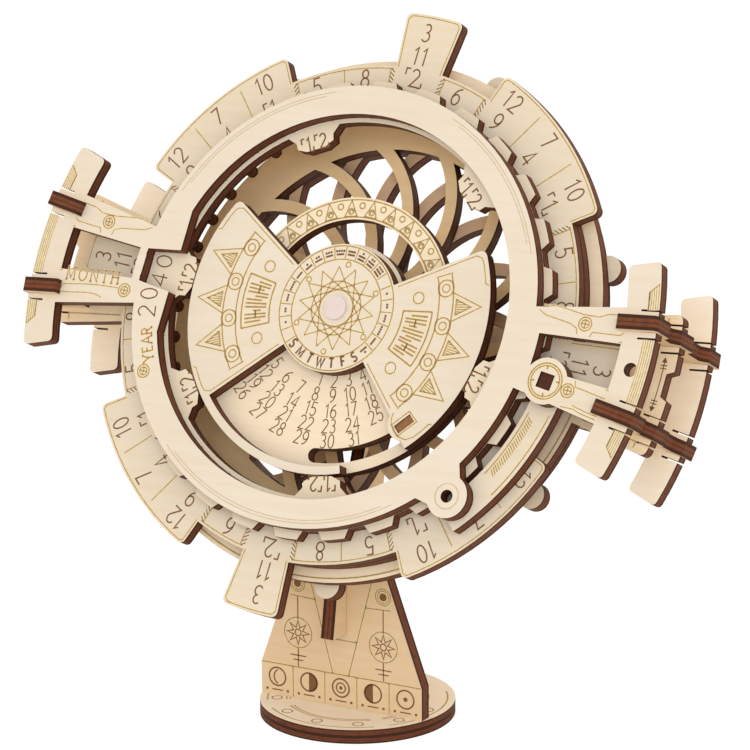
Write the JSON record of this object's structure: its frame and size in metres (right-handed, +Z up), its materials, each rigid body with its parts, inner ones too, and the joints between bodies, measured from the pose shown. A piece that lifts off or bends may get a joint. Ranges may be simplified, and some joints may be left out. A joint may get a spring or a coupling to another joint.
{
  "type": "perpetual desk calendar",
  "caption": "Desk calendar of laser-cut plywood: nested month, year and date dials under a fixed weekday mask, leaning on a slotted stand with a round foot.",
  "frame": {"origin": "centre of the round foot's underside", "axes": "+Z up, +X to the reader's right, -Y to the front, where the dials face"},
  "size_m": [0.146, 0.0637, 0.1444],
  "materials": {
    "birch_plywood": "sanded, laser-engraved",
    "charred_plywood": "laser-charred edges",
    "birch_dowel": "sanded"
  },
  "bodies": {
    "stand": {"base_disc_lower": "charred_plywood", "base_disc_upper": "birch_plywood", "stand_front_plate": "birch_plywood", "stand_fin": "birch_plywood", "front_frame": "birch_plywood", "guard_arc": "birch_plywood", "badge_peg": "charred_plywood", "middle_frame": "birch_plywood", "slide_ring": "birch_plywood", "back_ring": "birch_plywood", "rear_frame": "birch_plywood", "cross_rib_left_upper": "charred_plywood", "cross_rib_left_lower": "charred_plywood", "cross_rib_right_upper": "charred_plywood", "cross_rib_right_lower": "charred_plywood", "axle": "birch_dowel", "axle_collar": "birch_plywood", "lattice_front": "birch_plywood", "lattice_rear": "birch_plywood", "hub_spacer_middle": "birch_plywood", "hub_spacers_rear": "birch_plywood", "sun_mask": "birch_plywood", "stop_peg": "charred_plywood"},
    "date_plate": {"date_plate": "birch_plywood"},
    "year_dial": {"year_dial": "birch_plywood"},
    "month_dial": {"month_dial": "birch_plywood", "month_collar": "birch_plywood"}
  },
  "joints": [
    {"name": "month_turn", "type": "hinge", "parent": "stand", "child": "month_dial", "pos_m": [0, -0.0049, 0.0871], "axis": [0, -0.9011, 0.4337], "continuous": true},
    {"name": "year_turn", "type": "hinge", "parent": "stand", "child": "year_dial", "pos_m": [0, -0.0049, 0.0871], "axis": [0, -0.9011, 0.4337], "continuous": true},
    {"name": "date_turn", "type": "hinge", "parent": "stand", "child": "date_plate", "pos_m": [0, -0.0049, 0.0871], "axis": [0, -0.9011, 0.4337], "range_deg": [-38.57, 38.57]}
  ]
}
